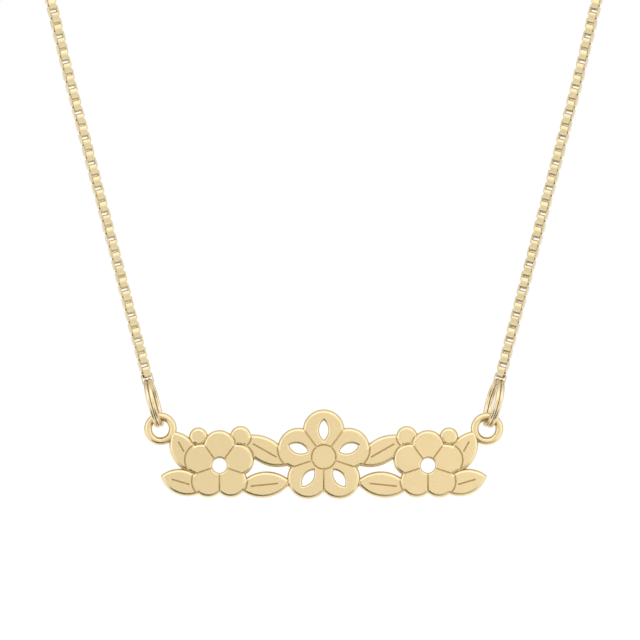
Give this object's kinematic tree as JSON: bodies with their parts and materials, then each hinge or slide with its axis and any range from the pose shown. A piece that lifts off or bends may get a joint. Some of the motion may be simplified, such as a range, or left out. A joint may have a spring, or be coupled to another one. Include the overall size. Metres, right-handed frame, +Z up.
{
  "type": "nameplate necklace",
  "caption": "Gold necklace with a pierced ornamental plate hung by its end rings from jump rings on a fine box chain, closed by a spring ring clasp at the nape.",
  "frame": {"origin": "where the middle of the loop's back rests on the nape of the neck", "axes": "+Z up, +X to the viewer's right as seen from the front, +Y towards the back; the plate's front faces -Y"},
  "size_m": [0.1074, 0.1029, 0.1146],
  "materials": {
    "plate_gold": "satin polished gold",
    "ring_gold": "polished gold",
    "link_gold": "polished gold",
    "chain_gold": "polished gold",
    "clasp_gold": "polished gold"
  },
  "bodies": {
    "loop": {"jump_ring_left": "ring_gold", "jump_ring_right": "ring_gold", "front_link_left": "link_gold", "front_link_right": "link_gold", "chain_left": "chain_gold", "chain_right": "chain_gold", "back_link_left": "link_gold", "back_link_right": "link_gold", "clasp": "clasp_gold", "catch_ring": "clasp_gold"},
    "plate": {"nameplate": "plate_gold"}
  },
  "joints": [
    {"name": "plate_swing", "type": "hinge", "parent": "loop", "child": "plate", "pos_m": [0, -0.098, -0.10271], "axis": [1, 0, 0], "range_deg": [-60, 60]}
  ]
}
